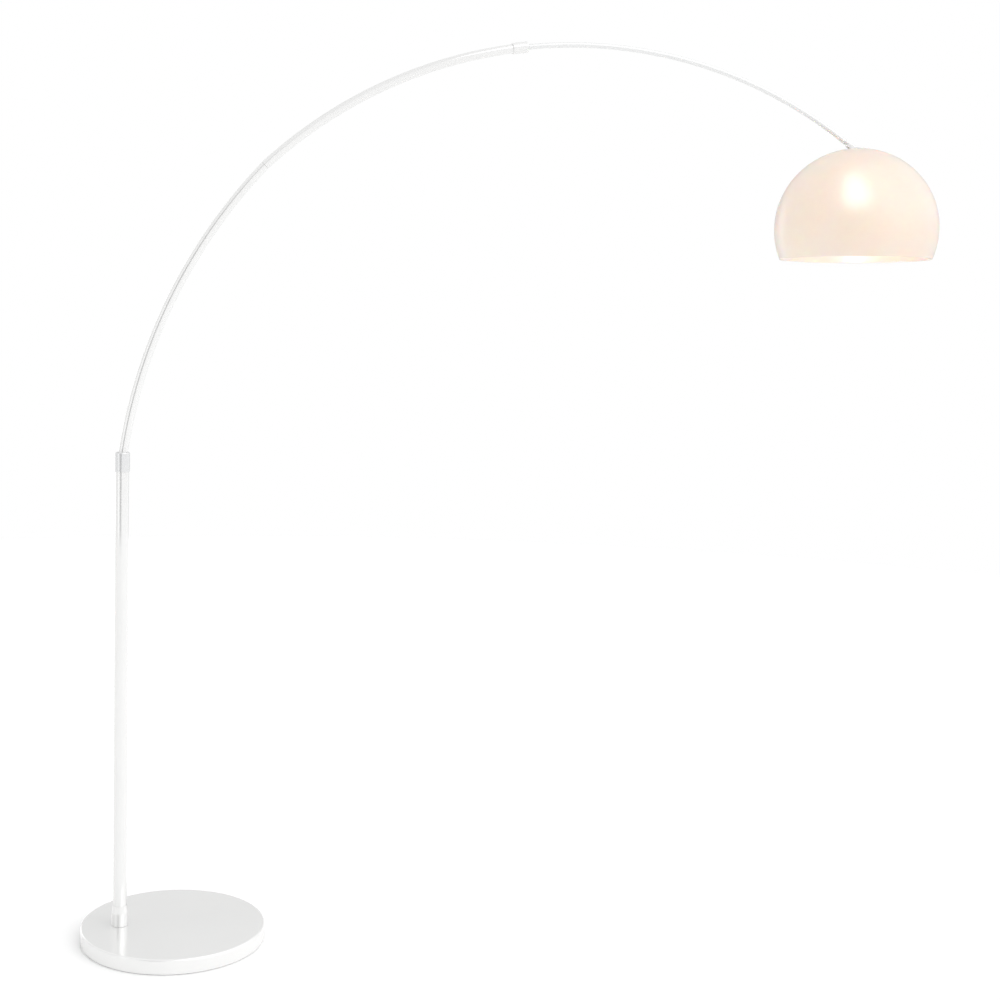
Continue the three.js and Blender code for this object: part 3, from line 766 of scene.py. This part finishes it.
def arm_collar():
    half = ARM_COLLAR_LENGTH / 2
    wide = ARM_RADIUS + 0.5 * MM
    narrow = THIN_RADIUS + 1 * MM
    outer = ARM_COLLAR_RADIUS
    step = 4 * MM
    collar = turned("arm_collar_skin", [
        (wide, -half),
        *quarter(outer - 0.8 * MM, 0.8 * MM - half, 0.8 * MM, -90, 0, 5),
        *quarter(outer - 1.5 * MM, half - 1.5 * MM, 1.5 * MM, 0, 90, 8),
        (narrow, half),
        (narrow, step),
        (wide, step),
        (wide, -half),
    ])
    cut(collar, rod(ARM_SCREW_HOLE, (0, 0, ARM_SCREW_PLACE), (0, 2 * outer, ARM_SCREW_PLACE)))
    place = upper_station(MIDDLE_TURN).matrix() @ Matrix.Translation((0, 0, ARM_COLLAR_SHIFT))
    finished(placed(collar, place), "lower_arm", "white_lacquer", "arm_collar")
    reach = ARM_COLLAR_RADIUS - 0.3 * MM
    screw = grub_screw("arm_grub_screw", ARM_SCREW_RADIUS, reach - THIN_RADIUS - 0.6 * MM)
    lift = Matrix.Translation((0, reach, ARM_SCREW_PLACE))
    turn = Matrix.Rotation(math.radians(-90), 4, "X")
    finished(placed(screw, place @ lift @ turn), "lower_arm", "steel", "arm_set_screw")


def thin_tube():
    end = PIVOT_TURN - TUBE_END / UPPER_BEND
    stations = upper_arc(THIN_START, end, 72)
    tube = swept("upper_arm_skin", stations, THIN_RADIUS, THIN_RADIUS - THIN_WALL, 40)
    # The thin tube takes the rougher lacquer, whose darker colour is painted shade.
    finished(tube, "upper_arm", "white_lacquer", "upper_arm_tube", material=THIN_TUBE_SHADED_LACQUER)


def tip_eye():
    """The plug in the end of the thin tube, with its shoulder and the flat eye for the pin."""
    shoulder = -TUBE_END + GAP
    plug_end = -TUBE_END - 10 * MM
    plug_radius = THIN_RADIUS - THIN_WALL - 0.7 * MM
    thickness = 5 * MM
    eye_radius = 6 * MM
    shoulder_top = shoulder + 4 * MM
    body = turned("tip_eye_skin", [
        (0, plug_end),
        (plug_radius, plug_end),
        (plug_radius, shoulder),
        (THIN_RADIUS, shoulder),
        (THIN_RADIUS, shoulder + 2 * MM),
        (THIN_RADIUS - 2 * MM, shoulder_top),
        (0, shoulder_top),
    ], 48)
    eye = turned("eye", ring_outline(eye_radius, 0, -thickness / 2, thickness / 2)[:-1], 64)
    placed(eye, Matrix.Rotation(math.radians(90), 4, "X"))
    combine(body, eye, "UNION")
    neck = bmesh.new()
    bmesh.ops.create_cube(neck, size=1)
    size = (2 * eye_radius - 4 * MM, thickness, TUBE_END - 2 * MM)
    bmesh.ops.transform(
        neck,
        matrix=Matrix.Translation((0, 0, -size[2] / 2)) @ Matrix.Diagonal((*size, 1)),
        verts=neck.verts,
    )
    combine(body, object_of("neck", neck, smooth=False), "UNION")
    cut(body, rod(PIN_HOLE, (0, -10 * MM, 0), (0, 10 * MM, 0)))
    place = upper_station(PIVOT_TURN).matrix()
    finished(placed(body, place), "upper_arm", "white_lacquer", "tip_eye")


# ---------------------------------------------------------------- shade head

CAP_RADIUS = 21 * MM
CAP_HEIGHT = 5.5 * MM
CHEEK_THICKNESS = 2.8 * MM
CHEEK_INNER = 2.9 * MM
CHEEK_RADIUS = 6 * MM
HEAD_NIPPLE_HOLE = 5.3 * MM


def over_head():
    return Matrix.Translation((SHADE_X, 0, 0))


def shade_cap():
    bottom = SHADE_TOP + GAP
    top = bottom + CAP_HEIGHT
    dome = turned("shade_cap_skin", [
        (0, bottom),
        *quarter(CAP_RADIUS - 0.4 * MM, bottom + 0.4 * MM, 0.4 * MM, -90, 0, 3),
        (CAP_RADIUS, bottom + 1.2 * MM),
        (CAP_RADIUS - 0.8 * MM, top - 2.6 * MM),
        (CAP_RADIUS - 3 * MM, top - 1.8 * MM),
        (CAP_RADIUS - 5.5 * MM, top - 1.0 * MM),
        (CAP_RADIUS - 8 * MM, top - 0.5 * MM),
        (CAP_RADIUS - 14 * MM, top - 0.1 * MM),
        (0, top),
    ])
    placed(dome, over_head())
    for side in (1, -1):
        combine(dome, cheek(side, bottom, top), "UNION")
    cut(
        dome,
        rod(PIN_HOLE, (PIVOT.x, -15 * MM, PIVOT.z), (PIVOT.x, 15 * MM, PIVOT.z)),
        rod(HEAD_NIPPLE_HOLE, (SHADE_X, 0, bottom - 1 * MM), (SHADE_X, 0, top - 2 * MM)),
    )
    finished(dome, "shade_head", "white_lacquer", "shade_cap")


def cheek(side, bottom, top):
    """One of the two ears that reach from the cap to the tilt pin."""
    angles = [math.radians(20 + 230 * i / 28) for i in range(29)]
    outline = [
        (PIVOT.x + CHEEK_RADIUS * math.cos(a), PIVOT.z + CHEEK_RADIUS * math.sin(a)) for a in angles
    ]
    cap_side = SHADE_X - CAP_RADIUS
    outline += [
        (cap_side + 4 * MM, bottom + 1 * MM),
        (cap_side + 13 * MM, bottom + 1 * MM),
        (cap_side + 13 * MM, top - 1 * MM),
    ]
    mesh_data = bmesh.new()
    near = side * CHEEK_INNER
    far = side * (CHEEK_INNER + CHEEK_THICKNESS)
    rows = [[mesh_data.verts.new((x, y, z)) for x, z in outline] for y in (near, far)]
    mesh_data.faces.new(rows[0])
    mesh_data.faces.new(list(reversed(rows[1])))
    count = len(outline)
    for i in range(count):
        j = (i + 1) % count
        mesh_data.faces.new((rows[0][i], rows[1][i], rows[1][j], rows[0][j]))
    bmesh.ops.recalc_face_normals(mesh_data, faces=mesh_data.faces)
    rim = [
        edge for edge in mesh_data.edges
        if all(abs(corner.co.y - far) < FLAT for corner in edge.verts)
    ]
    bmesh.ops.bevel(
        mesh_data, geom=rim, offset=0.5 * MM, segments=3, profile=0.5, affect="EDGES")
    return object_of("cheek", mesh_data)


def tilt_pin():
    face = CHEEK_INNER + CHEEK_THICKNESS + GAP
    end = face + 1.2 * MM
    shaft = 2 * MM
    head = 3.6 * MM
    half = [
        (shaft, 0),
        (shaft, face),
        (head, face),
        (head, face + 0.6 * MM),
        (3 * MM, face + 1.1 * MM),
        (2 * MM, end),
        (0, end),
    ]
    outline = [(r, -z) for r, z in reversed(half)] + half[1:]
    pin = turned("tilt_pin_skin", outline, 48)
    placed(pin, Matrix.Translation(PIVOT) @ Matrix.Rotation(math.radians(90), 4, "X"))
    finished(pin, "shade_head", "white_lacquer", "tilt_pin")


def dome_outline(shrink, steps):
    """The shade's outline, from the rim up: two ellipses that meet at the widest line."""
    radius = SHADE_RADIUS - shrink
    rise = DOME_RISE - shrink
    rim_angle = math.asin((SHADE_MIDDLE - SHADE_RIM - SHADE_WALL / 2) / DOME_DROP)
    top_angle = math.asin((SHADE_TOP - shrink - SHADE_MIDDLE) / rise)
    points = []
    for i in range(steps + 1):
        angle = -rim_angle + (rim_angle + top_angle) * i / steps
        drop = rise if angle > 0 else DOME_DROP
        points.append((radius * math.cos(angle), SHADE_MIDDLE + drop * math.sin(angle)))
    return points


def shade_dome():
    outside = dome_outline(0, 64)
    inside = dome_outline(SHADE_WALL, 64)
    hole = 5.5 * MM
    (outer_rim, rim_height), (inner_rim, _) = outside[0], inside[0]
    rim_middle = (outer_rim + inner_rim) / 2
    rim = quarter(rim_middle, rim_height, SHADE_WALL / 2, 180, 360, 8)[1:-1]
    dome = turned("opal_shade", [
        *outside,
        (hole, SHADE_TOP),
        (hole, SHADE_TOP - SHADE_WALL),
        *reversed(inside),
        *rim,
        outside[0],
    ], 160)
    finished(placed(dome, over_head()), "shade_head", "acrylic", "shade")


def lamp_holder():
    """The holder's cap and its skirt, with fine grip ribs on the skirt."""
    cap_low, cap_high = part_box("holder_cap")
    outer = (cap_high.x - cap_low.x) / 2
    top = cap_high.z
    hole = HEAD_NIPPLE_HOLE
    inner = outer - 2 * MM
    cap = turned("holder_cap_skin", [
        (hole, top - 5 * MM),
        (9 * MM, top - 5 * MM),
        (inner, top - 12 * MM),
        (inner, cap_low.z),
        *quarter(outer - 0.4 * MM, cap_low.z + 0.4 * MM, 0.4 * MM, -90, 0, 3),
        *quarter(outer - 3 * MM, top - 11.5 * MM, 3 * MM, 0, 45, 5),
        *quarter(11 * MM, top - 3.5 * MM, 2.8 * MM, 45, 90, 4),
        (9 * MM, top),
        (hole, top),
        (hole, top - 5 * MM),
    ])
    finished(placed(cap, over_head()), "shade_head", "holder_plastic", "holder_cap")
    low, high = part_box("holder_skirt")
    skirt = turned(
        "holder_skirt_skin", ring_outline(outer, 15.8 * MM, low.z, high.z, 0.6 * MM), 144)
    ribs = 48
    rib_depth = 0.35 * MM
    for vertex in skirt.data.vertices:
        radius = math.hypot(vertex.co.x, vertex.co.y)
        inside_band = low.z + 5 * MM < vertex.co.z < high.z - 3 * MM
        if radius > outer - 0.1 * MM and inside_band:
            angle = math.atan2(vertex.co.y, vertex.co.x)
            inward = rib_depth * (0.5 - 0.5 * math.cos(ribs * angle))
            vertex.co.x *= 1 - inward / radius
            vertex.co.y *= 1 - inward / radius
    finished(placed(skirt, over_head()), "shade_head", "holder_plastic", "holder_skirt")


def bulb():
    """A round frosted bulb, open at the neck where the screw base closes it."""
    low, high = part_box("bulb_glass")
    radius = 30 * MM
    centre = low.z + radius
    neck = 12.4 * MM
    wall = 1.2 * MM
    turn = math.radians(130)

    def side(shrink):
        size = radius - shrink
        angles = [turn * i / 32 for i in range(33)]
        ball = [(size * math.sin(a), centre - size * math.cos(a)) for a in angles]
        shoulder = [
            (18.4 * MM - shrink, centre + 24.4 * MM),
            (15.6 * MM - shrink, centre + 26.6 * MM),
            (13.6 * MM - shrink, centre + 28.8 * MM),
            (neck + 0.2 * MM - shrink, centre + 31 * MM),
            (neck - shrink, centre + 33 * MM),
            (neck - shrink, high.z),
        ]
        return ball + shoulder

    glass = turned("frosted_bulb_glass", [*side(0), *reversed(side(wall))], 96)
    finished(placed(glass, over_head()), "shade_head", "bulb_glass", "bulb_glass")


for build in (
    base_cover, base_felt, cable_inlet, foot_sleeve, pole_tube, pole_collar, collar_screw,
    thick_tubes, arm_collar, thin_tube, tip_eye, shade_cap, tilt_pin, shade_dome, lamp_holder, bulb,
):
    build()

for entry in frame["record"]["subparts"]:
    solid = frame["nodes"][entry["node"]]
    solid.data.materials.clear()
    solid.data.materials.append(MATERIALS[entry["material_slot"]])


# ---------------------------------------------------------------- studio

FLOOR_RADIUS = 6.5
FLOOR_COLOURS = ((0.962, 0.962, 0.962), (0.972, 0.972, 0.972))
PALE = 1.0                              # brightness of the backdrop
WALLS = 1.0                             # brightness of the studio near the floor, in reflections
CEILING = 0.90                          # and straight up
SIDE_BOX = 0.45                         # extra brightness of the soft box on the +X side
KEY_STRENGTH = 0.5
KEY_ELEVATION = math.radians(38)
KEY_AZIMUTH = math.radians(35)          # from the camera's side, towards +X
KEY_SIZE = math.radians(50)

# Brightness round the studio, by direction in degrees from the camera's side towards +X.
BANDS = (
    (-180, 0.75), (-164, 0.75), (-160, 1.9), (-146, 1.9), (-142, 0.85), (-120, 0.95), (-70, 0.95),
    (-67, 1.5), (-58, 1.5), (-55, 0.95), (-38, 1.0), (-37, 0.3), (-12, 0.3), (-9, 1.05),
    (20, 1.05), (60, 1.0), (120, 1.0), (142, 0.75), (150, 0.70), (166, 0.78), (180, 0.75),
)
BANDS_FADE = (0.35, 0.6)                # sines of the heights over which the bands fade out
SIDE_BOX_SPAN = ((30, 0), (50, 1), (100, 1), (125, 0))      # share of SIDE_BOX, likewise
SIDE_BOX_START = (0.03, 0.15)           # sines of the heights over which the box comes in


def make_floor():
    mesh_data = bmesh.new()
    bmesh.ops.create_circle(mesh_data, cap_ends=True, segments=256, radius=FLOOR_RADIUS)
    floor = object_of("floor", mesh_data, smooth=False)
    look = Look("pale_floor", roughness=0.9)
    look.colour(look.between(look.noise(2), *FLOOR_COLOURS))
    floor.data.materials.append(look.material)


def make_world():
    """A pale backdrop, and a studio whose soft boxes and dark gaps show only in reflections."""
    world = bpy.data.worlds.new("studio")
    world.use_nodes = True
    bpy.context.scene.world = world
    tree = world.node_tree
    tree.nodes.clear()
    link = tree.links.new

    def add(kind, **settings):
        node = tree.nodes.new(kind)
        for name, value in settings.items():
            setattr(node, name, value)
        return node

    def ranged(value, start, end, low=0.0, high=1.0):
        """A value from start to end, made to run from low to high."""
        node = add("ShaderNodeMapRange")
        limits = {"From Min": start, "From Max": end, "To Min": low, "To Max": high}
        for socket, number in limits.items():
            node.inputs[socket].default_value = number
        link(value, node.inputs["Value"])
        return node.outputs["Result"]

    def by_direction(turn, stops):
        """A brightness that changes round the studio, from stops of (degrees, value)."""
        node = add("ShaderNodeValToRGB")
        elements = node.color_ramp.elements
        while len(elements) < len(stops):
            elements.new(0.5)
        for element, (angle, _) in zip(elements, stops):
            element.position = (angle + 180) / 360
        for element, (_, value) in zip(elements, stops):
            element.color = (value, value, value, 1)
        link(turn, node.inputs["Fac"])
        return node.outputs["Color"]

    def light(colour, strength):
        node = add("ShaderNodeBackground")
        link(colour, node.inputs["Color"])
        link(strength, node.inputs["Strength"])
        return node.outputs[0]

    split = add("ShaderNodeSeparateXYZ")
    link(add("ShaderNodeTexCoord").outputs["Generated"], split.inputs["Vector"])
    height = split.outputs["Z"]
    towards = add("ShaderNodeMath", operation="MULTIPLY")
    towards.inputs[1].default_value = -1
    link(split.outputs["Y"], towards.inputs[0])
    azimuth = add("ShaderNodeMath", operation="ARCTAN2")
    link(split.outputs["X"], azimuth.inputs[0])
    link(towards.outputs[0], azimuth.inputs[1])
    turn = ranged(azimuth.outputs[0], -math.pi, math.pi)

    walls = add("ShaderNodeMix", data_type="RGBA")
    link(ranged(height, *BANDS_FADE), walls.inputs["Factor"])
    link(by_direction(turn, BANDS), walls.inputs[6])
    walls.inputs[7].default_value = (1, 1, 1, 1)
    studio = light(walls.outputs[2], ranged(height, 0, 1, WALLS, CEILING))
    side_strength = ranged(height, *SIDE_BOX_START, 0, SIDE_BOX)
    side_box = light(by_direction(turn, SIDE_BOX_SPAN), side_strength)
    both = add("ShaderNodeAddShader")
    link(studio, both.inputs[0])
    link(side_box, both.inputs[1])

    backdrop = add("ShaderNodeBackground")
    backdrop.inputs["Color"].default_value = (PALE, PALE, PALE, 1)
    mix = add("ShaderNodeMixShader")
    link(add("ShaderNodeLightPath").outputs["Is Camera Ray"], mix.inputs[0])
    link(both.outputs[0], mix.inputs[1])
    link(backdrop.outputs[0], mix.inputs[2])
    link(mix.outputs[0], add("ShaderNodeOutputWorld").inputs["Surface"])


def make_key_light():
    data = bpy.data.lights.new("key", "SUN")
    data.energy = KEY_STRENGTH
    data.angle = KEY_SIZE
    light = bpy.data.objects.new("key", data)
    bpy.context.scene.collection.objects.link(light)
    towards = Vector((
        math.sin(KEY_AZIMUTH) * math.cos(KEY_ELEVATION),
        -math.cos(KEY_AZIMUTH) * math.cos(KEY_ELEVATION),
        math.sin(KEY_ELEVATION),
    ))
    light.rotation_euler = towards.to_track_quat("Z", "Y").to_euler()


make_floor()
make_world()
make_key_light()
bpy.context.scene.view_settings.view_transform = "Standard"
